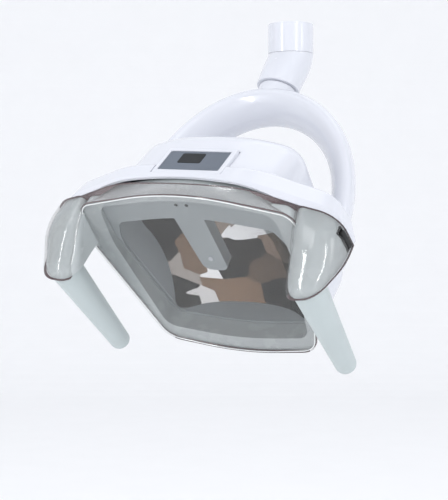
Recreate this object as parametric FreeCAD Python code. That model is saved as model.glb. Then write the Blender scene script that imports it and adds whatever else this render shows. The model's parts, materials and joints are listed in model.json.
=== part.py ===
"""Dental operating light: post, elbow, yoke and lamp head, one STEP file per piece.

Frames, all in millimetres:
  world  origin at the centre of the post's top face, +Z up, +X to the right, +Y away
  bend   origin where the yoke's swivel axis meets the post's axis, +Z up along the swivel axis
  head   origin on the front of the lamp head, +X to its side, +Y to its back, +Z to its brow
"""
import FreeCAD, Part
import math
import os

V = FreeCAD.Vector
X_AXIS = V(1, 0, 0)
Y_AXIS = V(0, 1, 0)
Z_AXIS = V(0, 0, 1)

# ---- pose of the three frames --------------------------------------------------
BEND_DROP = 20.0        # bend centre below the post's top
BEND_ANGLE = 26.0       # yoke swivel axis to the vertical
BEND_AZIMUTH = 53.75    # heading of the swivel axis' upper end
YOKE_TURN = -82.5       # yoke about the swivel axis
HEAD_TILT = 70.4        # head about the yoke's pivots

# ---- post and elbow ------------------------------------------------------------
POST_R = 22.5
POST_WALL = 4.0
POST_LENGTH = 29.0
SEAM_GAP = 0.3
ELBOW_END_R = 21.3
ELBOW_RIM = 51.7        # elbow rim below the bend centre, along the swivel axis
RUN_FIT = 0.05          # radial clearance of a running fit

# ---- yoke ----------------------------------------------------------------------
ARCH_TOP = 72.7         # arch centreline below the bend centre
ARCH_HALF = 101.0
ARCH_RISE = 115.0
LEG_LENGTH = 35.0
BAND_WIDE = 42.0
BAND_THICK = 22.0
BAND_SLANT = 62.0       # band's wide side to the arch's plane
SHELL = 2.6
BOSS_R = 19.0
BOSS_IN = 87.6
BOSS_OUT = 110.0
PIVOT_DROP = ARCH_TOP + ARCH_RISE + LEG_LENGTH

# ---- head ----------------------------------------------------------------------
PIVOT_Y = 35.3          # pivot in the head frame
PIVOT_Z = -72.5
WALL = 2.4
COVER_Y = -2.0          # front edge of the covers at the sides
LIP_Y = -12.5           # front plane of the lip
SIDE = 84.5             # half width of the housing
BACK_Y = 88.0
BAND_BACK = 26.0        # brow band's rear edge
SPLIT_Z = -45.0         # seam between top and rear covers
PLATE_TILT = 5.7        # front plate leans back towards its tongue
SHIELD = 2.2

# ---- handles -------------------------------------------------------------------
GRIP_ROOT = V(124.7, -49.5, -39.3)
MOUTH = V(125.0, -60.0, -24.6)  # a point of the right shoulder's open underside
GRIP_AXIS = V(-0.026, 0.128, -0.991)
GRIP_LENGTH = 112.0
GRIP_R = 15.0
GRIP_TIP_R = 10.0
NOSE_Y = -50.0          # where the shoulders' round noses begin

bend_frame = FreeCAD.Placement(
    V(0, 0, -BEND_DROP),
    FreeCAD.Rotation(Z_AXIS, BEND_AZIMUTH)
    * FreeCAD.Rotation(Y_AXIS, BEND_ANGLE)
    * FreeCAD.Rotation(Z_AXIS, YOKE_TURN),
)
head_frame = (
    bend_frame
    * FreeCAD.Placement(V(0, 0, -PIVOT_DROP), FreeCAD.Rotation(X_AXIS, HEAD_TILT))
    * FreeCAD.Placement(V(0, -PIVOT_Y, -PIVOT_Z), FreeCAD.Rotation())
)
world_frame = FreeCAD.Placement()


# ---- helpers -------------------------------------------------------------------
def save(name, shape, frame=world_frame):
    """Write one piece to its STEP file, placed in the world."""
    solids = shape.Solids
    piece = solids[0] if len(solids) == 1 else Part.makeCompound(solids)
    placed = piece.copy()
    placed.Placement = frame.multiply(placed.Placement)
    placed.exportStep(f"parts/{name}.step")
    flag = "" if placed.isValid() else "  INVALID"
    print(f"{name:28s} solids {len(solids)}  volume {placed.Volume / 1000:8.2f} cm3{flag}")


def mirrored(shape):
    """The same piece on the other side of the X = 0 plane."""
    return shape.mirror(V(0, 0, 0), X_AXIS)


def fused(shapes):
    """All shapes in one solid."""
    whole = shapes[0]
    for shape in shapes[1:]:
        whole = whole.fuse(shape)
    return whole.removeSplitter()


def tube(r_out, r_in, low, high):
    """A ring about +Z between two heights."""
    ring = Part.makeCylinder(r_out, high - low, V(0, 0, low))
    return ring.cut(Part.makeCylinder(r_in, high - low + 2, V(0, 0, low - 1)))


def rod_x(radius, x0, x1, y, z):
    """A cylinder along +X."""
    return Part.makeCylinder(radius, x1 - x0, V(x0, y, z), X_AXIS)


def rod_y(radius, x, z, y0, y1):
    """A cylinder along +Y."""
    return Part.makeCylinder(radius, y1 - y0, V(x, y0, z), Y_AXIS)


def block(x0, x1, y0, y1, z0, z1):
    """A box between two corners."""
    return Part.makeBox(x1 - x0, y1 - y0, z1 - z0, V(x0, y0, z0))


def both_sides(half):
    """Corners (x, z, radius) of a symmetric outline, from its right half, top to bottom."""
    left = [(-x, z, r) for x, z, r in reversed(half) if x > 0]
    return half + left


def inset_corners(corners, inset):
    """The polygon moved inwards, with its rounding radii to suit. Corners run clockwise."""
    count = len(corners)
    moved = []
    for i in range(count):
        x0, z0, _ = corners[i - 1]
        x1, z1, radius = corners[i]
        x2, z2, _ = corners[(i + 1) % count]
        before = V(x1 - x0, z1 - z0, 0).normalize()
        after = V(x2 - x1, z2 - z1, 0).normalize()
        in_before = V(before.y, -before.x, 0)
        in_after = V(after.y, -after.x, 0)
        bisector = in_before + in_after
        shift = bisector * (2 * inset / (bisector.Length ** 2))
        turn = before.x * after.y - before.y * after.x
        new_radius = radius - inset if turn < 0 else radius + inset
        moved.append((x1 + shift.x, z1 + shift.y, max(new_radius, 0.8)))
    return moved


def outline(corners, y, inset=0.0):
    """Closed wire of straight and tangent round stretches in the plane Y = y."""
    points = inset_corners(corners, inset)
    count = len(points)
    arcs = []
    for i in range(count):
        corner = V(points[i][0], y, points[i][1])
        before = V(points[i - 1][0], y, points[i - 1][1]) - corner
        after = V(points[(i + 1) % count][0], y, points[(i + 1) % count][1]) - corner
        to_before = V(before).normalize()
        to_after = V(after).normalize()
        half_angle = to_before.getAngle(to_after) / 2
        reach = points[i][2] / math.tan(half_angle)
        reach = min(reach, 0.49 * before.Length, 0.49 * after.Length)
        radius = reach * math.tan(half_angle)
        inward = (to_before + to_after).normalize()
        middle = corner + inward * (radius / math.sin(half_angle) - radius)
        arcs.append((corner + to_before * reach, middle, corner + to_after * reach))
    edges = []
    for i in range(count):
        edges.append(Part.Arc(*arcs[i]).toShape())
        edges.append(Part.makeLine(arcs[i][2], arcs[(i + 1) % count][0]))
    return Part.Wire(edges)


def prism(corners, y0, y1, inset=0.0):
    """An outline pushed straight back from y0 to y1."""
    return Part.Face(outline(corners, y0, inset)).extrude(V(0, y1 - y0, 0))


def loft(sections, ruled=False, inset=0.0):
    """A solid through outlines given as (y, corners) pairs."""
    return Part.makeLoft([outline(corners, y, inset) for y, corners in sections], True, ruled)


# ---- outlines of the head, right half, top to bottom ----------------------------
LIP = both_sides([
    (0, 31.5, 420), (89.5, 15.5, 13), (92.5, -30, 90), (76.5, -141, 15), (0, -151.5, 600)])
RIM = both_sides([
    (0, 41.5, 400), (109, 18, 16), (113.5, -35, 6), (80, -156, 22), (0, -168.5, 600)])
BROW = both_sides([
    (0, 41.5, 600), (66, 38, 120), (138, 9.5, 34), (150, -30, 6), (108, -38, 6), (88, -49, 6)])
BROW_REAR = both_sides([
    (0, 39.5, 600), (66, 36.0, 120), (132, 9.0, 26), (140, -26, 8), (104, -33, 6), (87, -46, 6)])


def hump(top):
    """Housing outline at one depth: box-like below, domed on top."""
    return both_sides([
        (0, top, 600), (44, top - 2.5, 150), (SIDE, top - 16, 31),
        (SIDE, -80, 200), (SIDE - 1, -150, 20), (0, -167, 900)])


# ---- post ----------------------------------------------------------------------
def groove_cut(radius, depth, height, width, lug_angle):
    """A groove round a spindle, broken by a lug that stops the swivel."""
    ring = tube(radius + 1, radius - depth, height - width / 2, height + width / 2)
    lug = Part.makeCylinder(radius + 2, width, V(0, 0, height - width / 2), Z_AXIS, lug_angle)
    lug.rotate(V(0, 0, 0), Z_AXIS, -90 - lug_angle / 2)
    return ring.cut(lug)


def spindle(radius, bore, low, high, ring_z, groove_z):
    """Hollow spindle with a circlip groove near its top and a stop groove."""
    body = tube(radius, bore, low, high)
    body = body.cut(tube(radius + 1, radius - 1.0, ring_z - 0.8, ring_z + 0.8))
    return body.cut(groove_cut(radius, 1.6, groove_z, 5.4, 14))


def circlip(radius, ring_z):
    """Open retaining ring that sits in a spindle's groove."""
    ring = tube(radius + 2.6, radius - 0.9, ring_z - 0.7, ring_z + 0.7)
    return ring.cut(block(-2.5, 2.5, 0, radius + 5, ring_z - 2, ring_z + 2))


SPINDLE_R = 13.0
BUSH_TOP = -10.0
STOP_Z = -19.5


def stop_screw(r_tip, r_end, height):
    """Dog-point set screw that points at the axis from the +Y side."""
    shank = Part.makeCylinder(2.5, r_end - r_tip, V(0, r_tip, height), Y_AXIS)
    socket = Part.makeCylinder(1.3, 2.5, V(0, r_end - 2.0, height), Y_AXIS)
    return shank.cut(socket)


def build_post():
    """Post tube with the plain bearing the elbow swivels in."""
    screw_hole = Part.makeCylinder(2.5, 20, V(0, 8, STOP_Z), Y_AXIS)
    post = tube(POST_R, POST_R - POST_WALL, -POST_LENGTH, 0).cut(screw_hole)
    save("post_tube", post)
    bush = tube(POST_R - POST_WALL, SPINDLE_R + RUN_FIT, -POST_LENGTH + 0.2, BUSH_TOP)
    save("post_bush", bush.cut(screw_hole))
    save("post_stop_screw", stop_screw(SPINDLE_R - 1.2, POST_R - 0.3, STOP_Z))


# ---- elbow ---------------------------------------------------------------------
BUSH2_R = 15.5
SPINDLE2_R = 12.0
BUSH2_TOP = -41.0
STOP2_Z = -46.2


def elbow_sections(shrink):
    """Circles down the elbow: square to the post, then square to the swivel axis."""
    lean = bend_frame.Rotation.multVec(Z_AXIS)
    side = V(lean.x, lean.y, 0).normalize()
    rim = bend_frame.multVec(V(0, 0, -ELBOW_RIM))
    top = V(0, 0, -POST_LENGTH - SEAM_GAP)
    reach = V(rim.x, rim.y, 0).Length
    drop = top.z - rim.z
    rows = [(0.0, 0.0, 0, POST_R), (0.05, 0.13, 11, POST_R - 0.1),
            (0.46, 0.52, 29, POST_R - 0.5), (1.0, 1.0, BEND_ANGLE, ELBOW_END_R)]
    wires = []
    for across, down, angle, radius in rows:
        centre = top - side * (reach * across) - Z_AXIS * (drop * down)
        a = math.radians(angle)
        normal = side * math.sin(a) + Z_AXIS * math.cos(a)
        wires.append(Part.Wire(Part.makeCircle(radius - shrink, centre, normal)))
    return wires


def build_elbow():
    """Elbow casting, its spindle up into the post, and the yoke's bearing."""
    body = Part.makeLoft(elbow_sections(0.0), True, False)
    upper_bore = Part.makeCylinder(SPINDLE_R, 10, V(0, 0, -POST_LENGTH - 10.0))
    passage = Part.makeSphere(8.0, bend_frame.multVec(V(0, 0, -24)))
    lower = Part.makeCylinder(BUSH2_R, ELBOW_RIM - 34.5 + 1, V(0, 0, -ELBOW_RIM - 1))
    lower = lower.fuse(Part.makeCylinder(8.0, 20, V(0, 0, -40)))
    screw_hole = Part.makeCylinder(2.5, 30, V(0, 8, STOP2_Z), Y_AXIS)
    lower = lower.fuse(screw_hole)
    lower.Placement = bend_frame
    save("elbow_casting", body.cut(upper_bore).cut(passage).cut(lower))

    save("elbow_spindle", spindle(SPINDLE_R, 9.0, -POST_LENGTH - 9.8, -5.0, -7.4, STOP_Z))
    save("elbow_thrust_washer", tube(17.6, SPINDLE_R + RUN_FIT, BUSH_TOP + 0.05, BUSH_TOP + 1.75))
    save("elbow_circlip", circlip(SPINDLE_R, -7.4))

    bush = tube(BUSH2_R, SPINDLE2_R + RUN_FIT, -ELBOW_RIM + 0.3, BUSH2_TOP)
    save("yoke_swivel_bush", bush.cut(screw_hole), bend_frame)
    save("yoke_stop_screw", stop_screw(SPINDLE2_R - 1.2, 19.5, STOP2_Z), bend_frame)


# ---- yoke ----------------------------------------------------------------------
def arch_path(shorten=0.0):
    """Half an ellipse over the head, then two straight legs."""
    centre = V(0, 0, -ARCH_TOP - ARCH_RISE)
    ellipse = Part.Ellipse(centre + Z_AXIS * ARCH_RISE, centre + X_AXIS * ARCH_HALF, centre)
    right = Part.ArcOfEllipse(ellipse, -math.pi / 2, math.pi / 2).toShape()
    ends = sorted([v.Point for v in right.Vertexes], key=lambda p: p.x)
    drop = Z_AXIS * (LEG_LENGTH - shorten)
    left_leg = Part.makeLine(ends[0] - drop, ends[0])
    right_leg = Part.makeLine(ends[1], ends[1] - drop)
    return Part.Wire(Part.__sortEdges__([left_leg, right, right_leg]))


def swept_band(wide, thick, shorten=0.0):
    """An oval band along the arch, slanted to the arch's plane."""
    path = arch_path(shorten)
    start = V(-ARCH_HALF, 0, -PIVOT_DROP + shorten)
    slant = math.radians(BAND_SLANT)
    major = V(-math.cos(slant), -math.sin(slant), 0)
    minor = V(math.sin(slant), -math.cos(slant), 0)
    oval = Part.Ellipse(start + major * wide / 2, start + minor * thick / 2, start)
    maker = Part.BRepOffsetAPI.MakePipeShell(path)
    maker.setBiNormalMode(Y_AXIS)
    maker.add(Part.Wire(oval.toShape()))
    maker.build()
    maker.makeSolid()
    return maker.shape()


def oval_arch_pieces():
    """Hollow arch: outer solid, hollow, and the holes for neck and pivots."""
    z = -PIVOT_DROP
    bosses = []
    hollows = []
    holes = [Part.makeCylinder(9.0, 30, V(0, 0, -ARCH_TOP))]
    for side in (1, -1):
        x0, x1 = sorted((side * BOSS_IN, side * BOSS_OUT))
        bosses.append(rod_x(BOSS_R, x0, x1, 0, z))
        x0, x1 = sorted((side * (BOSS_IN + SHELL), side * (BOSS_OUT - SHELL)))
        hollows.append(rod_x(BOSS_R - SHELL, x0, x1, 0, z))
        x0, x1 = sorted((side * 80, side * 92))
        holes.append(rod_x(8.0, x0, x1, 0, z))
        x0, x1 = sorted((side * 104, side * 120))
        holes.append(rod_x(CAP_R - 2, x0, x1, 0, z))
        x0, x1 = sorted((side * (BOSS_OUT + 0.05), side * 120))
        holes.append(rod_x(CAP_R + 0.2, x0, x1, 0, z))
    outer = fused([swept_band(BAND_WIDE, BAND_THICK)] + bosses)
    inner = fused([swept_band(BAND_WIDE - 2 * SHELL, BAND_THICK - 2 * SHELL)] + hollows)
    shell = outer.cut(inner)
    for hole in holes:
        shell = shell.cut(hole)
    return shell


CAP_R = 15.5
PIN_R = 6.0


def build_yoke():
    """Arched yoke: two shells, the strap inside, neck, spindle and pivot trim."""
    z = -PIVOT_DROP
    shell = oval_arch_pieces()
    room = 300
    save("yoke_front_shell", shell.common(block(-room, room, -room, -0.05, -room, 0)), bend_frame)
    save("yoke_rear_shell", shell.common(block(-room, room, 0.05, room, -room, 0)), bend_frame)

    eyes = []
    for side in (1, -1):
        x0, x1 = sorted((side * 96.0, side * 101.0))
        eyes.append(rod_x(13.5, x0, x1, 0, z))
    plate = Part.makeCylinder(11.0, 4.0, V(0, 0, -ARCH_TOP - 2.0))
    strap = fused([swept_band(17.0, 4.4)] + eyes + [plate])
    strap = strap.cut(Part.makeCylinder(SPINDLE2_R - 4, 20, V(0, 0, -ARCH_TOP - 10)))
    strap = strap.cut(Part.makeCylinder(9.0, 20, V(0, 0, -ARCH_TOP + 2.0)))
    strap = strap.cut(rod_x(8.0, -130, 130, 0, z))
    strap = strap.cut(rod_x(12.0, 101.05, 130, 0, z)).cut(rod_x(12.0, -130, -101.05, 0, z))
    save("yoke_strap", strap, bend_frame)

    neck_low = -ARCH_TOP + 9.0
    neck = tube(18.6, SPINDLE2_R, neck_low, -ELBOW_RIM - 0.4)
    neck = neck.makeFillet(1.6, [e for e in neck.Edges if abs(e.BoundBox.ZMax + ELBOW_RIM + 0.4) < 0.01
                                 and e.BoundBox.XLength > 30])
    save("yoke_neck_collar", neck.cut(swept_band(BAND_WIDE, BAND_THICK)), bend_frame)
    body = spindle(SPINDLE2_R, 8.0, neck_low + 0.2, -34.9, -38.4, STOP2_Z)
    body = body.cut(swept_band(BAND_WIDE, BAND_THICK))
    body = body.fuse(tube(8.9, 6.5, -ARCH_TOP + 2.05, -ELBOW_RIM - 4)).removeSplitter()
    save("yoke_spindle", body, bend_frame)
    save("yoke_thrust_washer", tube(14.8, SPINDLE2_R + RUN_FIT, BUSH2_TOP + 0.05, BUSH2_TOP + 1.6),
         bend_frame)
    save("yoke_circlip", circlip(SPINDLE2_R, -38.4), bend_frame)

    for side, word in ((1, "right"), (-1, "left")):
        bush = rod_x(8.0, 96.0, 101.0, 0, z).cut(rod_x(PIN_R + RUN_FIT, 90, 110, 0, z))
        cap = rod_x(CAP_R, BOSS_OUT + 0.1, BOSS_OUT + 2.2, 0, z)
        cap = cap.makeFillet(1.2, [e for e in cap.Edges if e.BoundBox.XMin > BOSS_OUT + 2.0])
        cap = cap.fuse(rod_x(CAP_R - 2.2, BOSS_OUT - 2.4, BOSS_OUT + 0.2, 0, z)).removeSplitter()
        for name, shape in (("pivot_bush", bush), ("pivot_cap", cap)):
            shape = shape if side > 0 else mirrored(shape)
            save(f"{name}_{word}", shape, bend_frame)


# ---- head: covers ---------------------------------------------------------------
HUMP_SECTIONS = [(1.0, hump(39.5)), (30.0, hump(36.0)), (56.0, hump(32.0)), (BACK_Y, hump(27.0))]
BACK_ROUND = 26.0
BAND_ROUND = 5.0


FLARE_END = 34.0
FLARE_BACK = both_sides([
    (0, 30, 400), (82, 22, 16), (83.5, -35, 6), (82.5, -148, 20), (0, -164, 600)])
PIVOT_ROOM = 20.8       # radius kept free round a pivot, outside the housing's sides


def end_edges(shape, y):
    """Edges that lie in the plane Y = y."""
    return [e for e in shape.Edges if abs(e.BoundBox.YMin - y) < 0.01 and abs(e.BoundBox.YMax - y) < 0.01]


def housing_solid(inset):
    """Brow band and hump in one, drawn in by inset."""
    rows = [(y - (inset if y == BACK_Y else 0), inset_corners(c, inset)) for y, c in HUMP_SECTIONS]
    body = loft(rows)
    body = body.makeFillet(BACK_ROUND - inset, end_edges(body, BACK_Y - inset))
    band = Part.makeLoft([outline(BROW, COVER_Y - 0.5, inset), outline(BROW, 6.0, inset),
                          outline(BROW_REAR, BAND_BACK - inset, inset)], True, True)
    band = band.makeFillet(BAND_ROUND - inset, end_edges(band, BAND_BACK - inset))
    flare = Part.makeLoft([outline(RIM, 2.0, inset), outline(FLARE_BACK, FLARE_END, inset)], True, True)
    for side in (1, -1):
        x0, x1 = sorted((side * (SIDE + 0.05 - inset), side * 150))
        flare = flare.cut(rod_x(PIVOT_ROOM + inset, x0, x1, PIVOT_Y, PIVOT_Z))
    return body.fuse(band).fuse(flare)


def plan_curve():
    """Round tool that sweeps the covers' front edge back at its middle."""
    sag = 7.0
    half = 90.0
    radius = (half ** 2 + sag ** 2) / (2 * sag)
    tool = Part.makeCylinder(radius, 400, V(0, COVER_Y + sag - radius, -200))
    return tool.common(block(-250, 250, -60, 30, 0, 200))


def pivot_holes(radius):
    """Bores for both pivots through the housing's sides."""
    return rod_x(radius, -120, 120, PIVOT_Y, PIVOT_Z)


def screw_places():
    """Rear screws, on the housing's back."""
    return [(x, z) for x in (-46, 46) for z in (-130, -72)]


def build_covers():
    """Top and rear covers of the head, with their screws."""
    shell = housing_solid(0.0).cut(housing_solid(WALL))
    shell = shell.cut(block(-300, 300, -40, COVER_Y, -300, 300)).cut(plan_curve())
    shell = shell.cut(prism(RIM, -20, 3.0, -0.4)).cut(pivot_holes(9.0))
    shell = shell.cut(prism(RIM, -20, CROWN_Y + 0.4, -0.4).common(block(-90.4, 90.4, -30, 30, 17.6, 80)))
    top = shell.common(block(-300, 300, -100, 200, SPLIT_Z + 0.15, 200))
    rear = shell.common(block(-300, 300, -100, 200, -300, SPLIT_Z - 0.15))
    window = block(-33.4, 33.4, 14.5, 49.0, 24, 48)
    seat = block(-36.4, 36.4, 11.8, 51.7, PANEL_TOP - 3.1, PANEL_TOP + 8)
    top = top.cut(tilted(window)).cut(tilted(seat))
    for row in range(6):
        z = -86 - 8 * row
        slot = prism([(-30, z + 1.5, 1.2), (30, z + 1.5, 1.2), (30, z - 1.5, 1.2), (-30, z - 1.5, 1.2)],
                     BACK_Y - 12, BACK_Y + 3)
        rear = rear.cut(slot)
    for x, z in screw_places():
        rear = rear.cut(rod_y(2.2, x, z, BACK_Y - 20, BACK_Y + 5))
        rear = rear.cut(rod_y(4.3, x, z, BACK_Y - 2.0, BACK_Y + 5))
    save("top_cover", top, head_frame)
    save("rear_cover", rear, head_frame)
    screws = []
    for x, z in screw_places():
        head = rod_y(3.9, x, z, BACK_Y - 1.95, BACK_Y - 0.2)
        slot = block(x - 2.6, x + 2.6, BACK_Y - 0.9, BACK_Y, z - 0.5, z + 0.5)
        screws.append(head.fuse(rod_y(2.0, x, z, CHASSIS_Y + 2.1, BACK_Y - 1.9)).cut(slot))
    save("cover_screws", Part.makeCompound(screws), head_frame)


PANEL_SLOPE = 7.5
PANEL_TOP = 36.6


def tilted(shape):
    """Turn a piece drawn level to the slope of the head's top."""
    placed = shape.copy()
    placed.rotate(V(0, 16.0, PANEL_TOP), X_AXIS, -PANEL_SLOPE)
    return placed


def rounded_box(x0, x1, y0, y1, z0, z1, radius):
    """A box whose upright edges are rounded."""
    box = block(x0, x1, y0, y1, z0, z1)
    return box.makeFillet(radius, [e for e in box.Edges if e.BoundBox.ZLength > (z1 - z0) * 0.9])


def build_panel():
    """Sensor panel on the brow: bezel, plate, window and board."""
    low = PANEL_TOP - 7.0
    bezel = rounded_box(-36.2, 36.2, 12.0, 51.5, PANEL_TOP - 3.0, PANEL_TOP + 2.0, 2.5)
    bezel = bezel.makeFillet(1.5, [e for e in bezel.Edges if e.BoundBox.ZMin > PANEL_TOP + 1.9])
    bezel = bezel.fuse(block(-33.2, 33.2, 14.7, 48.8, low, PANEL_TOP - 2.9))
    bezel = bezel.cut(rounded_box(-31.4, 31.4, 16.2, 46.2, PANEL_TOP - 0.2, PANEL_TOP + 5, 1.0))
    bezel = bezel.cut(block(-29.5, 29.5, 18.0, 44.4, low - 2, PANEL_TOP + 2))
    save("panel_bezel", tilted(bezel), head_frame)
    plate = rounded_box(-31.2, 31.2, 16.4, 46.0, PANEL_TOP - 0.1, PANEL_TOP + 1.3, 0.9)
    hole = rounded_box(-17.2, 6.9, 27.9, 43.1, PANEL_TOP - 2, PANEL_TOP + 3, 2.0)
    save("panel_plate", tilted(plate.cut(hole)), head_frame)
    window = rounded_box(-17.0, 6.7, 28.1, 42.9, PANEL_TOP - 0.8, PANEL_TOP + 1.5, 1.8)
    save("sensor_window", tilted(window), head_frame)
    board = block(-27, 27, 19.5, 43.0, low + 0.5, low + 2.1)
    chips = [block(-14, -4, 30, 41, low + 2.0, low + 4.2), block(10, 19, 24, 31, low + 2.0, low + 4.0)]
    save("sensor_board", tilted(fused([board] + chips)), head_frame)


# ---- head: front ----------------------------------------------------------------
def ear_sections(inset):
    """Outlines of the right shoulder, from the brow forward to its round nose."""
    rows = [
        (4.0, [(109, 19.5, 4), (143, 8, 26), (150.5, -44, 3), (109, -46, 3)]),
        (-18.0, [(108.6, 14, 10), (147.5, 8, 24), (150.8, -46, 3), (108.6, -48, 3)]),
        (-36.0, [(108.2, 3.5, 15), (147, 2, 20), (148.6, -50, 3), (108.2, -50, 3)]),
        (NOSE_Y, [(107.8, -6, 17), (143.6, -7, 17), (144.2, -54, 2), (107.8, -54, 2)]),
        (NOSE_Y - 10, [(110.8, -13, 13.5), (139.8, -13.5, 13.5), (139.8, -54, 2), (110.8, -54, 2)]),
        (NOSE_Y - 16, [(115.8, -20, 9), (134.6, -20, 9), (134.6, -54, 2), (115.8, -54, 2)]),
        (NOSE_Y - 18, [(119.6, -25.5, 5), (130.6, -25.5, 5), (130.6, -54, 2), (119.6, -54, 2)]),
    ]
    swell = 1 - inset / 18
    return [(y if y > NOSE_Y else NOSE_Y + (y - NOSE_Y) * swell, inset_corners(corners, inset))
            for y, corners in rows]


def ear_solid(inset):
    """Right shoulder with its round nose over the handle."""
    return Part.makeLoft([outline(c, y) for y, c in ear_sections(inset)], True, False)


def above_mouth(lift, low=0):
    """Half space over the shoulders' slanted mouth, as a big block, or with low -300 the one under it."""
    room = Part.makeBox(400, 400, 300, V(-200, -200, low))
    room.rotate(V(0, 0, 0), X_AXIS, -3.5)
    room.rotate(V(0, 0, 0), Y_AXIS, -8.0)
    room.translate(MOUTH + Z_AXIS * lift)
    return room


def right_ear(inset, lift, y_end=COVER_Y - 0.2):
    """Right shoulder, trimmed at its mouth and at the brow."""
    ear = ear_solid(inset).common(above_mouth(lift))
    return ear.common(block(60, 200, -200, y_end, -200, 200))


STEM_R = 6.0
STEM_LENGTH = 51.0
STEM_FLANGE = -24.0     # flange that keeps the stem from pulling through the shoulder
FLANGE_R = STEM_R + 3.5
FLANGE_THICK = 2.5
CROWN_Y = 7.5           # rim wall's rear edge under the brow
SWITCH_AT = V(147.2, -9.5, -11.0)
SWITCH_LEAN = -9.0
ROCKER_HALF = 9.5


def at_switch(shape):
    """Move a piece drawn about the origin to the side switch."""
    placed = shape.copy()
    placed.rotate(V(0, 0, 0), Y_AXIS, SWITCH_LEAN)
    placed.translate(SWITCH_AT)
    return placed


def build_switch():
    """Rocker switch in the right shoulder."""
    box = block(-9, 0.6, -4.4, 4.4, -ROCKER_HALF - 1.8, ROCKER_HALF + 1.8)
    pocket = block(-7, 5, -3.2, 3.2, -ROCKER_HALF - 0.6, ROCKER_HALF + 0.6)
    pin_hole = rod_y(0.8, -1.5, 0, -6, 6)
    save("switch_housing", at_switch(box.cut(pocket).cut(pin_hole)), head_frame)
    pin = rod_y(0.78, -1.5, 0, -4.3, 4.3)
    save("switch_pin", at_switch(pin), head_frame)
    rocker = block(-4.4, 3.4, -2.9, 2.9, -ROCKER_HALF, ROCKER_HALF)
    rocker = rocker.makeFillet(2.2, [e for e in rocker.Edges if e.BoundBox.XLength > 5])
    rocker = rocker.makeFillet(0.9, [e for e in rocker.Edges if e.BoundBox.XMin > 3.3])
    save("side_switch", at_switch(rocker.cut(rod_y(0.83, -1.5, 0, -6, 6))), head_frame)


def build_front_frame():
    """Frame of the light's face: rim, lip and the two shoulders."""
    plate = prism(RIM, LIP_Y, LIP_Y + 4.0).cut(prism(LIP, LIP_Y - 1, LIP_Y + 6))
    skirt = prism(LIP, LIP_Y + 1, 7.0, -2.2).cut(prism(LIP, LIP_Y, 8.0))
    edge = prism(RIM, LIP_Y + 2, 2.5).cut(prism(RIM, LIP_Y, 4.0, 2.2))
    crown = prism(RIM, 0, CROWN_Y).cut(prism(RIM, -1, CROWN_Y + 1, 2.2))
    crown = crown.common(block(-90, 90, -1, 20, 18, 60))
    edge = edge.fuse(crown)
    ears = []
    for flip in (False, True):
        solid = right_ear(0.0, 0.4)
        hollow = right_ear(2.2, 3.0, 10.0).cut(block(60, 111.5, -100, 100, -100, 100))
        seat = V(GRIP_ROOT) + GRIP_AXIS * (STEM_FLANGE - 0.5)
        socket = Part.makeCylinder(STEM_R + 0.02, 72, seat, GRIP_AXIS)
        socket = socket.fuse(Part.makeCylinder(FLANGE_R + 0.1, FLANGE_THICK + 0.52, seat, GRIP_AXIS))
        ear = solid.cut(hollow).cut(socket)
        if not flip:
            ear = ear.cut(at_switch(block(-9.1, 9, -4.5, 4.5, -ROCKER_HALF - 1.9, ROCKER_HALF + 1.9)))
        ears.append(mirrored(ear) if flip else ear)
    frame = fused([plate, skirt, edge]).cut(prism(LIP, LIP_Y - 80, 20))
    for ear in ears:
        frame = frame.fuse(ear.cut(prism(LIP, LIP_Y - 80, 20, -0.5)))
    frame = frame.removeSplitter()
    save("front_frame", frame, head_frame)
    return frame


OPENING = both_sides([
    (0, 6.5, 300), (79.5, -7.5, 11), (90.0, -34, 60), (74.4, -138.5, 14), (0, -148.8, 600)])
OPENING_BACK = both_sides([
    (0, 4.0, 300), (70.0, -8.0, 11), (75.5, -34, 60), (62.0, -136.0, 14), (0, -145.6, 600)])
TONGUE_TIP = -69.5
PLATE_Y = -8.2


def leaning(shape):
    """Lean a piece drawn upright to the front plate's slope."""
    placed = shape.copy()
    placed.rotate(V(0, PLATE_Y, 0), X_AXIS, PLATE_TILT)
    return placed


def tongue(y0, y1, inset=0.0):
    """Tongue that carries the lamp over the opening's middle."""
    return prism([(-16, 20, 1), (16, 20, 1), (13, TONGUE_TIP, 8.5), (-13, TONGUE_TIP, 8.5)], y0, y1, inset)


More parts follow.
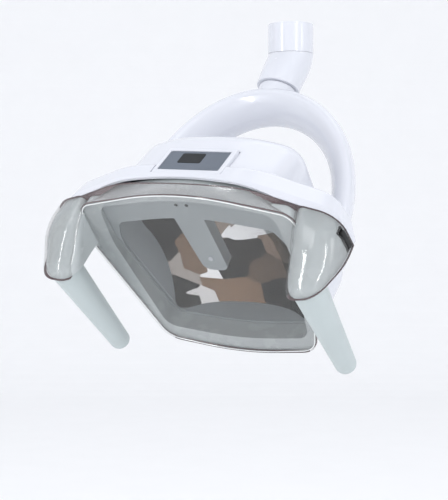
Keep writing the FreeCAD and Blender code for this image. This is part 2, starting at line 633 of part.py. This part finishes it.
def build_front_plate():
    """Brow plate with the tongue that carries the lamp."""
    y0 = PLATE_Y
    ring = prism(LIP, y0, y0 + 2.4).cut(prism(OPENING, y0 - 1, y0 + 4))
    body = leaning(fused([ring, tongue(y0, y0 + 2.4)]))
    walls = leaning(tongue(y0 + 1, y0 + 12.0, 0.3).cut(tongue(y0, y0 + 13, 2.0)))
    walls = walls.common(prism(OPENING, -40, 40, 0.5))
    body = fused([body, walls]).common(prism(LIP, -40, 40, 0.25))
    for x in (-5.4, 5.4):
        body = body.cut(leaning(rod_y(1.75, x, 21.0, y0 - 2, y0 + 4)))
    body = body.cut(leaning(rod_y(1.2, 0, -53.0, y0 - 2, y0 + 4)))
    save("front_plate", body, head_frame)
    eyes = [leaning(rod_y(1.7, x, 21.0, y0 - 0.3, y0 + 5.5)) for x in (-5.4, 5.4)]
    save("sensor_eyes", Part.makeCompound(eyes), head_frame)
    screw = rod_y(2.3, 0, -53.0, y0 - 1.0, y0 - 0.05).cut(block(-1.8, 1.8, y0 - 2, y0 - 0.5, -53.3, -52.7))
    save("tongue_screw", leaning(screw.fuse(rod_y(1.15, 0, -53.0, y0 - 0.1, y0 + 6))), head_frame)

    sink = tongue(y0 + 5.0, y0 + 8.0, 2.2).common(block(-40, 40, -40, 40, -90, -8))
    fins = [block(-9.6 + 4.2 * i, -8.4 + 4.2 * i, y0 + 2.6, y0 + 5.1, -62, -10) for i in range(5)]
    fins = [fin.cut(rod_y(2.0, 0, -53.0, y0 - 2, y0 + 8)) for fin in fins]
    sink = fused([sink] + fins).cut(rod_y(1.2, 0, -53.0, y0 - 2, y0 + 6.2))
    save("lamp_heat_sink", leaning(sink), head_frame)
    board = block(-9.0, 9.0, y0 + 8.05, y0 + 9.6, -64.0, -44)
    save("lamp_board", leaning(board), head_frame)
    dies = [block(x - 1.6, x + 1.6, y0 + 9.6, y0 + 10.4, z - 1.6, z + 1.6)
            for x in (-4, 4) for z in (-59, -51)]
    save("lamp_chips", leaning(Part.makeCompound(dies)), head_frame)


def duct_block(grow):
    """The duct's room, swelled outwards by grow."""
    rows = [(PLATE_Y + 4.0, OPENING), (58.0, OPENING_BACK)]
    return Part.makeLoft([outline(c, y, -grow) for y, c in rows], True, True)


def build_optics():
    """Duct walls and the curved mirror behind the opening."""
    outer = duct_block(2.0)
    inner = duct_block(0.0)
    behind_plate = leaning(block(-200, 200, PLATE_Y + 2.5, 200, -300, 200))
    duct = outer.cut(inner).common(behind_plate)
    duct = duct.cut(prism(LIP, -20, 7.3, -2.4).cut(prism(LIP, -30, 20, 0.3)))
    room = SIDE - WALL - 0.15
    duct = duct.cut(rod_x(PIVOT_ROOM + WALL + 0.2, room, 150, PIVOT_Y, PIVOT_Z))
    duct = duct.cut(rod_x(PIVOT_ROOM + WALL + 0.2, -150, -room, PIVOT_Y, PIVOT_Z))
    save("light_duct", duct, head_frame)

    radius = 180.0
    turn_radius = 125.0
    deep = 58.0
    arc_centre = V(0, deep - radius, -50)
    ring = Part.makeCircle(radius, arc_centre, X_AXIS)
    ring_face = Part.Face(Part.Wire(ring))
    inner_face = Part.Face(Part.Wire(Part.makeCircle(radius - 2.0, arc_centre, X_AXIS)))
    band = ring_face.cut(inner_face).common(
        Part.Face(Part.makePolygon([V(0, 0, -170), V(0, 80, -170), V(0, 80, 60), V(0, 0, 60),
                                    V(0, 0, -170)])))
    dish = band.Faces[0].revolve(V(0, deep - turn_radius, 0), Z_AXIS, 90)
    dish.rotate(V(0, deep - turn_radius, 0), Z_AXIS, -45)
    save("reflector", dish.common(duct_block(-0.25)), head_frame)

    frame = prism(OPENING_BACK, 58.6, 61.0, -6).cut(prism(OPENING_BACK, 58, 62, 6))
    save("reflector_retainer", frame, head_frame)


CHASSIS_Y = 66.0
WING_X = 81.0           # outer face of the chassis wings that carry the pivots


def build_inside():
    """Chassis, driver and the two tilt pivots."""
    plate = block(-72, 72, CHASSIS_Y, CHASSIS_Y + 2, -146, -52)
    plate = plate.makeFillet(6, [e for e in plate.Edges if e.BoundBox.YLength > 1.9
                                 and e.BoundBox.XLength < 0.1 and e.BoundBox.ZLength < 0.1])
    wings = [block(x0, x0 + 2, 22, CHASSIS_Y + 1, -88, -57) for x0 in (-WING_X, WING_X - 2)]
    cross = block(-WING_X, WING_X, CHASSIS_Y, CHASSIS_Y + 2, -88, -57)
    body = fused([plate, cross] + wings).cut(duct_block(2.3))
    for x, z in screw_places():
        body = body.cut(rod_y(2.02, x, z, CHASSIS_Y - 5, CHASSIS_Y + 5))
    body = body.cut(pivot_holes(PIN_R + 0.02))
    save("chassis_plate", body, head_frame)
    board = block(-42, 42, CHASSIS_Y + 6, CHASSIS_Y + 7.6, -134, -78)
    parts = [block(-30, -16, CHASSIS_Y + 7.5, CHASSIS_Y + 15, -104, -90),
             block(2, 12, CHASSIS_Y + 7.5, CHASSIS_Y + 10, -100, -90),
             block(-34, 34, CHASSIS_Y + 7.5, CHASSIS_Y + 9.5, -130, -124)]
    parts += [rod_y(3.5, 20 + 9 * i, -92, CHASSIS_Y + 7.5, CHASSIS_Y + 16) for i in range(2)]
    save("driver_board", fused([board] + parts), head_frame)
    posts = [rod_y(2.4, x, z, CHASSIS_Y + 2.02, CHASSIS_Y + 5.98) for x in (-38, 38) for z in (-130, -82)]
    save("board_standoffs", Part.makeCompound(posts), head_frame)

    for side, word in ((1, "right"), (-1, "left")):
        bore = rod_x(PIN_R, 60, 120, PIVOT_Y, PIVOT_Z)
        hub = block(74.1, WING_X - 2.05, PIVOT_Y - 11, PIVOT_Y + 11, PIVOT_Z - 11, PIVOT_Z + 11)
        spacer = rod_x(12.5, SIDE + 0.1, BOSS_IN - 0.7, PIVOT_Y, PIVOT_Z)
        hub = hub.cut(duct_block(2.3))
        pin = rod_x(PIN_R, 71.5, 106.5, PIVOT_Y, PIVOT_Z).cut(duct_block(2.4))
        washer = rod_x(11, 101.1, 102.4, PIVOT_Y, PIVOT_Z)
        nut = rod_x(9.5, 102.5, 106.3, PIVOT_Y, PIVOT_Z)
        for turn in range(6):
            cutter = Part.makeBox(8, 30, 30, V(100, -15, 8.2))
            cutter.rotate(V(0, 0, 0), X_AXIS, 60 * turn)
            cutter.translate(V(0, PIVOT_Y, PIVOT_Z))
            nut = nut.cut(cutter)
        pieces = (("pivot_hub", hub.cut(bore)), ("pivot_spacer", spacer.cut(bore)),
                  ("pivot_pin", pin), ("pivot_washer", washer.cut(bore)), ("pivot_nut", nut.cut(bore)))
        for name, shape in pieces:
            shape = shape if side > 0 else mirrored(shape)
            save(f"{name}_{word}", shape, head_frame)


def build_shield(frame):
    """Clear guard over the frame and its shoulders."""
    front = prism(RIM, LIP_Y - 0.3 - SHIELD, LIP_Y - 0.3, -1.5)
    brow = Part.makeLoft([outline(RIM, LIP_Y - 0.3, -1.5), outline(BROW_FRONT, -2.4, 0.0)], True, True)
    brow_in = Part.makeLoft([outline(RIM, LIP_Y - 0.3, -0.2), outline(BROW_FRONT, -2.4, 1.6)], True, True)
    skirt = brow.cut(brow_in).common(block(-200, 200, -60, 20, -33, 100))
    ears = []
    for flip in (False, True):
        ear = right_ear(-SHIELD - 0.25, 0.0, -2.4).cut(right_ear(-0.25, -6.0, 3.0))
        ear = ear.cut(prism(RIM, -100, 30, 0.5).common(block(0, 111, -100, 30, -200, 100)))
        if not flip:
            ear = ear.cut(at_switch(block(-9, 12, -4.6, 4.6, -ROCKER_HALF - 2, ROCKER_HALF + 2)))
        ears.append(mirrored(ear) if flip else ear)
    sheet = fused([front, skirt]).cut(prism(RIM, LIP_Y - 0.25, 3.0, -0.2))
    for ear in ears:
        cut = right_ear(-0.25, -6.0, 3.0)
        cut = mirrored(cut) if ear.BoundBox.XMax < 0 else cut
        sheet = sheet.cut(cut).fuse(ear)
    sheet = max(sheet.removeSplitter().cut(frame).Solids, key=lambda solid: solid.Volume)
    save("clear_shield", sheet, head_frame)


BROW_FRONT = both_sides([
    (0, 41.0, 600), (66, 37.6, 120), (138, 9.0, 34), (149.6, -30, 6), (108, -37, 6), (88, -48, 6)])


# ---- handles and switch ----------------------------------------------------------
def along_grip(shape):
    """Move a piece drawn up +Z, root at the origin, onto the right grip's axis."""
    placed = shape.copy()
    placed.Placement = FreeCAD.Placement(GRIP_ROOT, FreeCAD.Rotation(Z_AXIS, GRIP_AXIS))
    return placed


def grip_body():
    """Tapered bar with a domed tip."""
    top = -24.0
    tip = GRIP_LENGTH
    shoulder = V(GRIP_TIP_R, 0, tip - 8.5)
    flat = V(2.5, 0, tip)
    edges = [
        Part.makeLine(V(0, 0, top), V(GRIP_R + 0.9, 0, top)),
        Part.makeLine(V(GRIP_R + 0.9, 0, top), shoulder),
        Part.Arc(shoulder, V(GRIP_TIP_R * 0.78, 0, tip - 2.6), flat).toShape(),
        Part.makeLine(flat, V(0, 0, tip)),
        Part.makeLine(V(0, 0, tip), V(0, 0, top)),
    ]
    return Part.Face(Part.Wire(edges)).revolve(V(0, 0, 0), Z_AXIS, 360)


def build_handles():
    """Pull-off grips and the stems they slide on."""
    below = above_mouth(-0.3, -300)
    bore = Part.makeCylinder(STEM_R + 0.08, STEM_LENGTH + 5 + 30, V(0, 0, -30))
    grip = along_grip(grip_body().cut(bore)).common(below)
    stem = Part.makeCylinder(STEM_R, STEM_LENGTH - STEM_FLANGE, V(0, 0, STEM_FLANGE))
    stem = stem.fuse(Part.makeCylinder(FLANGE_R, FLANGE_THICK, V(0, 0, STEM_FLANGE)))
    stem = stem.cut(Part.makeTorus(STEM_R + 0.6, 1.5, V(0, 0, 30)))
    stem = along_grip(stem)
    for side, word in ((1, "right"), (-1, "left")):
        for name, shape in (("grip", grip), ("grip_stem", stem)):
            shape = shape if side > 0 else mirrored(shape)
            save(f"{name}_{word}", shape, head_frame)


def main():
    """Write every piece."""
    os.makedirs("parts", exist_ok=True)
    build_post()
    build_elbow()
    build_yoke()
    build_covers()
    build_panel()
    frame = build_front_frame()
    build_front_plate()
    build_optics()
    build_inside()
    build_shield(frame)
    build_switch()
    build_handles()


main()
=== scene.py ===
"""Looks for the dental operating light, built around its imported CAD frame. Metres."""
import json
import math

import bmesh
import bpy
from mathutils import Matrix, Vector


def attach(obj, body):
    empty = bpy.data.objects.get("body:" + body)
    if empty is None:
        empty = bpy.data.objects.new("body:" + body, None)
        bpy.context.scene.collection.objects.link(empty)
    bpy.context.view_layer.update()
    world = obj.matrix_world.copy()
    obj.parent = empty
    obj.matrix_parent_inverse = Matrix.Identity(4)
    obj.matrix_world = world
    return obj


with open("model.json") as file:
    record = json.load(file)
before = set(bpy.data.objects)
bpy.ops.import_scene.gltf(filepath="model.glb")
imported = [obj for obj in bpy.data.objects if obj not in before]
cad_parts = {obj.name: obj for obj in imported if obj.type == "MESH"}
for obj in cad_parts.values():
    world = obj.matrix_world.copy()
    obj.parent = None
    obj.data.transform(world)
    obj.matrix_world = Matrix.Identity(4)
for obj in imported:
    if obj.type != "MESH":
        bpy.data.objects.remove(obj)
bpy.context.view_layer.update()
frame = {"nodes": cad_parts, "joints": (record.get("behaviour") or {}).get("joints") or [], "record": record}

NODES = frame["nodes"]
JOINTS = {joint["name"]: joint for joint in frame["joints"]}
MM = 0.001


# ---- frames worked out from the joints --------------------------------------------
def basis(x_axis, y_axis, origin):
    """A matrix from axes and an origin."""
    z_axis = x_axis.cross(y_axis)
    rows = Matrix((x_axis, y_axis, z_axis)).transposed().to_4x4()
    return Matrix.Translation(origin) @ rows


HEAD_X = Vector(JOINTS["head_tilt"]["axis"]).normalized()
HEAD_Y = Vector(JOINTS["side_switch_rock"]["axis"]).normalized()
PIVOT = Vector(JOINTS["head_tilt"]["pos_m"])
PIVOT_IN_HEAD = Vector((0, 35.3, -72.5)) * MM
HEAD = basis(HEAD_X, HEAD_Y, Vector((0, 0, 0)))
HEAD = Matrix.Translation(PIVOT - HEAD @ PIVOT_IN_HEAD) @ HEAD
INTO_HEAD = HEAD.inverted()


# ---- materials ------------------------------------------------------------------------
def new_material(name):
    """A node material and its shader."""
    material = bpy.data.materials.new(name)
    material.use_nodes = True
    tree = material.node_tree
    shader = tree.nodes["Principled BSDF"]
    return material, tree, shader


def noise(tree, scale, detail=3.0, stretch=(1, 1, 1)):
    """Noise over the object's own coordinates."""
    place = tree.nodes.new("ShaderNodeTexCoord")
    mapping = tree.nodes.new("ShaderNodeMapping")
    mapping.inputs["Scale"].default_value = stretch
    texture = tree.nodes.new("ShaderNodeTexNoise")
    texture.inputs["Scale"].default_value = scale
    texture.inputs["Detail"].default_value = detail
    tree.links.new(place.outputs["Object"], mapping.inputs["Vector"])
    tree.links.new(mapping.outputs["Vector"], texture.inputs["Vector"])
    return texture.outputs["Fac"]


NOISE_LOW = 0.3         # nearly all of a noise's values lie between these two
NOISE_HIGH = 0.7


def between(tree, factor, low, high):
    """Maps a noise onto a range."""
    spread = tree.nodes.new("ShaderNodeMapRange")
    spread.inputs["From Min"].default_value = NOISE_LOW
    spread.inputs["From Max"].default_value = NOISE_HIGH
    spread.inputs["To Min"].default_value = low
    spread.inputs["To Max"].default_value = high
    tree.links.new(factor, spread.inputs["Value"])
    return spread.outputs["Result"]


def two_tone(tree, factor, dark, light):
    """A colour ramp between two close tones."""
    return many_tones(tree, factor, ((NOISE_LOW, dark), (NOISE_HIGH, light)))


def many_tones(tree, factor, tones, stepped=False):
    """A colour ramp through several tones, blended or in steps."""
    ramp = tree.nodes.new("ShaderNodeValToRGB")
    if stepped:
        ramp.color_ramp.interpolation = "CONSTANT"
    elements = ramp.color_ramp.elements
    for i, (position, tone) in enumerate(tones):
        element = elements[i] if i < 2 else elements.new(position)
        element.position = position
        element.color = (*tone, 1)
    tree.links.new(factor, ramp.inputs["Fac"])
    return ramp.outputs["Color"]


def bump(tree, shader, factor, strength, distance):
    """Fine relief."""
    node = tree.nodes.new("ShaderNodeBump")
    node.inputs["Strength"].default_value = strength
    node.inputs["Distance"].default_value = distance
    tree.links.new(factor, node.inputs["Height"])
    tree.links.new(node.outputs["Normal"], shader.inputs["Normal"])


def moulded(name, color, rough, mottle=0.02, grain=900.0, relief=0.05, coat=0.0, metallic=0.0,
            stretch=(1, 1, 1)):
    """Moulded plastic, paint or metal: slow colour drift, uneven gloss and a fine grain."""
    material, tree, shader = new_material(name)
    drift = noise(tree, 14.0, 4.0)
    dark = tuple(c * (1 - mottle) for c in color)
    light = tuple(min(c * (1 + mottle), 1.0) for c in color)
    tree.links.new(two_tone(tree, drift, dark, light), shader.inputs["Base Color"])
    gloss = between(tree, noise(tree, 55.0, 5.0), rough * 0.85, rough * 1.15)
    tree.links.new(gloss, shader.inputs["Roughness"])
    bump(tree, shader, noise(tree, grain, 2.0, stretch), relief, 0.0002)
    shader.inputs["Coat Weight"].default_value = coat
    shader.inputs["Coat Roughness"].default_value = 0.06
    shader.inputs["Metallic"].default_value = metallic
    return material


def clear_plastic(name, tint, facing_alpha, edge_alpha, rough=0.04):
    """Clear sheet: thin where it is looked through, darker where it is seen edge-on."""
    material, tree, shader = new_material(name)
    weight = tree.nodes.new("ShaderNodeLayerWeight")
    weight.inputs["Blend"].default_value = 0.35
    spread = tree.nodes.new("ShaderNodeMapRange")
    spread.inputs["To Min"].default_value = facing_alpha
    spread.inputs["To Max"].default_value = edge_alpha
    tree.links.new(weight.outputs["Facing"], spread.inputs["Value"])
    tree.links.new(spread.outputs["Result"], shader.inputs["Alpha"])
    drift = noise(tree, 30.0, 3.0)
    dark = tuple(c * 0.94 for c in tint)
    tree.links.new(two_tone(tree, drift, dark, tint), shader.inputs["Base Color"])
    gloss = between(tree, noise(tree, 70.0), rough * 0.8, rough * 1.3)
    tree.links.new(gloss, shader.inputs["Roughness"])
    shader.inputs["IOR"].default_value = 1.58
    shader.inputs["Coat Weight"].default_value = 0.6
    shader.inputs["Coat Roughness"].default_value = 0.03
    material.surface_render_method = "BLENDED"
    return material


def mirror_material():
    """Metallised reflector with faint ripples, and painted reflection: warm, dark and pale patches of a room
    painted into its colour.
    """
    material, tree, shader = new_material("mirror_coat")
    place = tree.nodes.new("ShaderNodeTexCoord")
    warp = tree.nodes.new("ShaderNodeMapping")
    warp.inputs["Scale"].default_value = (1.0, 0.4, 1.5)
    warp.inputs["Rotation"].default_value = (0, 0.2, 0.4)
    cells = tree.nodes.new("ShaderNodeTexVoronoi")
    cells.distance = "CHEBYCHEV"
    cells.inputs["Scale"].default_value = 24.0
    tree.links.new(place.outputs["Object"], warp.inputs["Vector"])
    tree.links.new(warp.outputs["Vector"], cells.inputs["Vector"])
    channels = tree.nodes.new("ShaderNodeSeparateColor")
    tree.links.new(cells.outputs["Color"], channels.inputs["Color"])
    # painted reflection: these dark, brown and white tones stand in for the room seen in the mirror
    tones = ((0.0, (0.02, 0.018, 0.016)), (0.40, (0.04, 0.035, 0.03)), (0.52, (0.22, 0.14, 0.09)),
             (0.74, (0.34, 0.30, 0.27)), (0.86, (0.90, 0.90, 0.90)))
    patches = many_tones(tree, channels.outputs["Green"], tones)
    tree.links.new(patches, shader.inputs["Base Color"])
    gloss = between(tree, noise(tree, 40.0, 5.0), 0.035, 0.08)
    tree.links.new(gloss, shader.inputs["Roughness"])
    shader.inputs["Metallic"].default_value = 1.0
    bump(tree, shader, noise(tree, 34.0, 1.0, (2.2, 1, 0.6)), 0.10, 0.002)
    return material


def board_material():
    """Solder-masked board with a hint of its tracks."""
    material, tree, shader = new_material("solder_mask")
    drift = noise(tree, 260.0, 1.0, (1, 6, 1))
    tree.links.new(two_tone(tree, drift, (0.015, 0.09, 0.04), (0.03, 0.17, 0.07)),
                   shader.inputs["Base Color"])
    gloss = between(tree, noise(tree, 90.0), 0.28, 0.4)
    tree.links.new(gloss, shader.inputs["Roughness"])
    return material


WHITE = moulded("white_gloss", (0.66, 0.675, 0.725), 0.20, 0.012, 420.0, 0.03, coat=0.5)
PAINT = moulded("white_paint", (0.66, 0.675, 0.725), 0.24, 0.012, 300.0, 0.05, coat=0.35)
FRAME_GREY = moulded("frame_grey", (0.47, 0.505, 0.51), 0.26, 0.03, 1400.0, 0.05, coat=1.0)
PLATE_GREY = moulded("plate_grey", (0.33, 0.36, 0.37), 0.38, 0.03, 1500.0, 0.12)
DUCT_GREY = moulded("duct_grey", (0.34, 0.37, 0.385), 0.42, 0.05, 1300.0, 0.14)
GRIP_GREY = moulded("grip_grey", (0.46, 0.515, 0.52), 0.42, 0.03, 1700.0, 0.16)
SLATE = moulded("panel_slate", (0.15, 0.175, 0.215), 0.36, 0.06, 700.0, 0.10, metallic=0.35,
                stretch=(1, 9, 9))
BLACK = moulded("black_plastic", (0.006, 0.006, 0.007), 0.5, 0.2, 1500.0, 0.15)
SMOKED = moulded("smoked_window", (0.006, 0.009, 0.012), 0.5, 0.2, 300.0, 0.01)
STEEL = moulded("turned_steel", (0.50, 0.51, 0.53), 0.26, 0.05, 1100.0, 0.12, metallic=1.0,
                stretch=(1, 1, 12))
ALUMINIUM = moulded("bare_aluminium", (0.62, 0.63, 0.65), 0.36, 0.05, 900.0, 0.12, metallic=1.0)
ACETAL = moulded("acetal", (0.62, 0.60, 0.54), 0.45, 0.04, 900.0, 0.08)
PHOSPHOR = moulded("phosphor", (0.85, 0.66, 0.16), 0.4, 0.08, 900.0, 0.1)
MIRROR = mirror_material()
BOARD = board_material()
CLEAR = clear_plastic("clear_guard", (0.22, 0.225, 0.225), 0.05, 0.36)
GUARD_BAND = clear_plastic("guard_band", (0.40, 0.37, 0.37), 0.10, 0.42, 0.07)
GUARD_EDGE = moulded("guard_edge", (0.12, 0.08, 0.085), 0.12, 0.15, 500.0, 0.03, coat=0.8)
# painted highlight: a near-white coat for the bead that stands for light caught along the guard's rim
RIM_HIGHLIGHT_PAINT = moulded("painted_rim_highlight", (0.78, 0.80, 0.80), 0.10, 0.04, 500.0, 0.03, coat=1.0)

BY_SLOT = {
    "white_shell": WHITE, "post_paint": PAINT, "steel": STEEL, "bearing_plastic": ACETAL,
    "grey_frame": FRAME_GREY, "duct_grey": DUCT_GREY, "clear_shield": CLEAR, "panel_slate": SLATE,
    "dark_window": SMOKED, "mirror": MIRROR, "aluminium": ALUMINIUM, "board_green": BOARD,
    "lamp_yellow": PHOSPHOR, "black_switch": BLACK, "grip_grey": GRIP_GREY,
}
OWN_MATERIAL = {"front_plate": PLATE_GREY, "tongue_screw": WHITE, "sensor_eyes": BLACK}


def dress_frame():
    """Gives every CAD node its material."""
    slots = {part["node"]: part["material_slot"] for part in frame["record"]["subparts"]}
    for name, obj in NODES.items():
        obj.data.materials.clear()
        obj.data.materials.append(OWN_MATERIAL.get(name, BY_SLOT[slots[name]]))


dress_frame()


# ---- outlines of the head, repeated from the design, millimetres in the head's frame -----
def both_sides(half):
    """Corners (x, z, radius) of a symmetric outline, from its right half, top to bottom."""
    return half + [(-x, z, r) for x, z, r in reversed(half) if x > 0]


RIM = both_sides([
    (0, 41.5, 400), (109, 18, 16), (113.5, -35, 6), (80, -156, 22), (0, -168.5, 600)])
LIP_Y = -12.5           # depth of the lip round the window
SHIELD_FRONT = LIP_Y - 2.5
BEAD_FACETS = 2
MOUTH = Vector((125.0, -60.0, -24.6))
MOUTH_UP = (Matrix.Rotation(math.radians(-8.0), 3, "Y") @ Matrix.Rotation(math.radians(-3.5), 3, "X")
            @ Vector((0, 0, 1)))


def rounded(corners, grow, steps=10):
    """Points of an outline with tangent arcs at its corners."""
    points = []
    count = len(corners)
    for i in range(count):
        here = Vector(corners[i][:2])
        to_before = (Vector(corners[i - 1][:2]) - here)
        to_after = (Vector(corners[(i + 1) % count][:2]) - here)
        reach_limit = 0.49 * min(to_before.length, to_after.length)
        to_before.normalize()
        to_after.normalize()
        half = to_before.angle(to_after) / 2
        reach = min((corners[i][2] + grow) / math.tan(half), reach_limit)
        radius = reach * math.tan(half)
        inward = (to_before + to_after).normalized()
        middle = here + inward * (radius / math.sin(half))
        start = here + to_before * reach - middle
        turn = math.pi - 2 * half
        sign = 1 if to_before.x * to_after.y - to_before.y * to_after.x > 0 else -1
        for k in range(steps + 1):
            angle = sign * -turn * k / steps
            spoke = Matrix.Rotation(angle, 2) @ start
            points.append(middle + spoke * (1 + grow / max(radius, 1.0) if radius < 100 else 1))
    return points


def in_head(x, y, z):
    """A point of the head's frame, given in millimetres, in metres in the part's frame."""
    return HEAD @ (Vector((x, y, z)) * MM)


def bead(name, points, radius, body, material):
    """A thin round bead along a closed run of points."""
    curve = bpy.data.curves.new(name, "CURVE")
    curve.dimensions = "3D"
    curve.bevel_depth = radius
    curve.bevel_resolution = BEAD_FACETS
    spline = curve.splines.new("POLY")
    spline.points.add(len(points) - 1)
    for target, point in zip(spline.points, points):
        target.co = (*point, 1)
    spline.use_cyclic_u = True
    temporary = bpy.data.objects.new(name + "_path", curve)
    bpy.context.scene.collection.objects.link(temporary)
    bpy.context.view_layer.update()
    mesh = bpy.data.meshes.new_from_object(temporary)
    bpy.data.objects.remove(temporary)
    bpy.data.curves.remove(curve)
    obj = bpy.data.objects.new(name, mesh)
    bpy.context.scene.collection.objects.link(obj)
    mesh.materials.clear()
    mesh.materials.append(material)
    for face in mesh.polygons:
        face.use_smooth = True
    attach(obj, body)
    return obj


def dress_shield():
    """Clear over the face, greyer on the band round it and dark on the edges."""
    obj = NODES["clear_shield"]
    clear_index, band_index, edge_index = range(3)
    for material in (GUARD_BAND, GUARD_EDGE):
        obj.data.materials.append(material)
    for face in obj.data.polygons:
        centre = (INTO_HEAD @ face.center) / MM
        normal = INTO_HEAD.to_3x3() @ face.normal
        side = Vector((abs(centre.x), centre.y, centre.z))
        flipped = Vector((-normal.x if centre.x < 0 else normal.x, normal.y, normal.z))
        under_mouth = flipped.dot(MOUTH_UP) < -0.92 and (side - MOUTH).dot(MOUTH_UP) < 3
        at_brow = normal.y > 0.8 and centre.y > -4
        on_band = centre.y > LIP_Y - 0.6 and centre.z > -30 and side.x < 112 and abs(normal.y) < 0.95
        if under_mouth or at_brow:
            face.material_index = edge_index
        elif on_band:
            face.material_index = band_index
        else:
            face.material_index = clear_index


dress_shield()


def rim_loop(y, grow):
    """The rim's outline at one depth."""
    return [in_head(p.x, y, p.y) for p in rounded(RIM, grow)]


bead("guard_rim_line", rim_loop(LIP_Y - 0.6, 0.6), 0.0007, "head", GUARD_EDGE)
# The second bead is a painted highlight: a white line along the guard's front rim where it catches the
# light.
bead("guard_rim_glint", rim_loop(SHIELD_FRONT + 0.3, -0.6), 0.0006, "head", RIM_HIGHLIGHT_PAINT)


# ---- light, camera, floor ---------------------------------------------------------------
CAMERA_DISTANCE = 1.350
CAMERA_PLACE = Vector((-0.0667, -CAMERA_DISTANCE, -0.225))
SENSOR = 36.0
FRAME_WIDTH = 0.448     # what the picture's width spans at the post


def add_camera():
    """The camera, level with the middle of the light."""
    data = bpy.data.cameras.new("camera")
    data.sensor_fit = "HORIZONTAL"
    data.sensor_width = SENSOR
    data.lens = SENSOR * CAMERA_DISTANCE / FRAME_WIDTH
    camera = bpy.data.objects.new("camera", data)
    camera.location = CAMERA_PLACE
    camera.rotation_euler = (math.radians(90), 0, 0)
    bpy.context.scene.collection.objects.link(camera)
    bpy.context.scene.camera = camera


MIDDLE = Vector((-0.06, -0.12, -0.2))


def add_softbox(name, place, size, power):
    """A rectangular area light aimed at the object's middle."""
    data = bpy.data.lights.new(name, "AREA")
    data.shape = "RECTANGLE"
    data.size, data.size_y = size
    data.energy = power
    light = bpy.data.objects.new(name, data)
    light.location = place
    light.rotation_euler = (MIDDLE - Vector(place)).to_track_quat("-Z", "Y").to_euler()
    bpy.context.scene.collection.objects.link(light)


FLOOR_Z = -0.62
STAGE = 9.0             # half width of the floor, and its wall's height


def add_floor():
    """A pale floor that curves up into a wall behind the object."""
    mesh = bpy.data.meshes.new("floor")
    build = bmesh.new()
    steps = 24
    back = 2.2
    bend = 1.2
    profile = [(-STAGE, 0.0)]
    for i in range(steps + 1):
        a = math.radians(90 * i / steps)
        profile.append((back + bend * math.sin(a), bend * (1 - math.cos(a))))
    profile.append((back + bend, STAGE))
    rows = [[build.verts.new((x, y, FLOOR_Z + z)) for y, z in profile] for x in (-STAGE, STAGE)]
    for i in range(len(profile) - 1):
        build.faces.new((rows[0][i], rows[1][i], rows[1][i + 1], rows[0][i + 1]))
    build.to_mesh(mesh)
    build.free()
    floor = bpy.data.objects.new("floor", mesh)
    bpy.context.scene.collection.objects.link(floor)
    mesh.materials.append(moulded("pale_floor", (0.93, 0.93, 0.93), 0.6, 0.006, 40.0, 0.02))


def add_world():
    """Even pale light all round, with the patches of a room for gloss to pick up."""
    world = bpy.data.worlds.new("studio")
    bpy.context.scene.world = world
    world.use_nodes = True
    tree = world.node_tree
    plain = tree.nodes["Background"]
    plain.inputs["Strength"].default_value = 1.04
    plain.inputs["Color"].default_value = (0.93, 0.95, 1.0, 1)
    room = tree.nodes.new("ShaderNodeBackground")
    room.inputs["Strength"].default_value = 0.75
    place = tree.nodes.new("ShaderNodeTexCoord")
    cells = tree.nodes.new("ShaderNodeTexVoronoi")
    cells.inputs["Scale"].default_value = 2.6
    cells.inputs["Randomness"].default_value = 0.8
    cells.distance = "CHEBYCHEV"
    tree.links.new(place.outputs["Generated"], cells.inputs["Vector"])
    channels = tree.nodes.new("ShaderNodeSeparateColor")
    tree.links.new(cells.outputs["Color"], channels.inputs["Color"])
    tones = ((0.0, (0.9, 0.92, 0.95)), (0.30, (0.30, 0.22, 0.16)), (0.45, (0.03, 0.03, 0.03)),
             (0.60, (0.55, 0.48, 0.42)), (0.80, (0.85, 0.86, 0.88)))
    patches = many_tones(tree, channels.outputs["Red"], tones, stepped=True)
    tree.links.new(patches, room.inputs["Color"])
    path = tree.nodes.new("ShaderNodeLightPath")
    mix = tree.nodes.new("ShaderNodeMixShader")
    tree.links.new(path.outputs["Is Glossy Ray"], mix.inputs["Fac"])
    tree.links.new(plain.outputs["Background"], mix.inputs[1])
    tree.links.new(room.outputs["Background"], mix.inputs[2])
    tree.links.new(mix.outputs["Shader"], tree.nodes["World Output"].inputs["Surface"])


add_camera()
add_floor()
add_world()
add_softbox("key", (-1.1, -1.5, 1.1), (0.7, 1.0), 4.0)
add_softbox("right", (1.5, -1.0, 0.2), (0.25, 1.1), 3.0)
add_softbox("top", (0.2, 0.3, 1.4), (1.2, 1.2), 2.5)
add_softbox("left_strip", (-1.2, -1.1, -0.1), (0.09, 0.9), 5.0)
add_softbox("right_strip", (0.75, -1.5, 0.1), (0.08, 0.8), 4.5)
bpy.context.scene.view_settings.view_transform = "Standard"
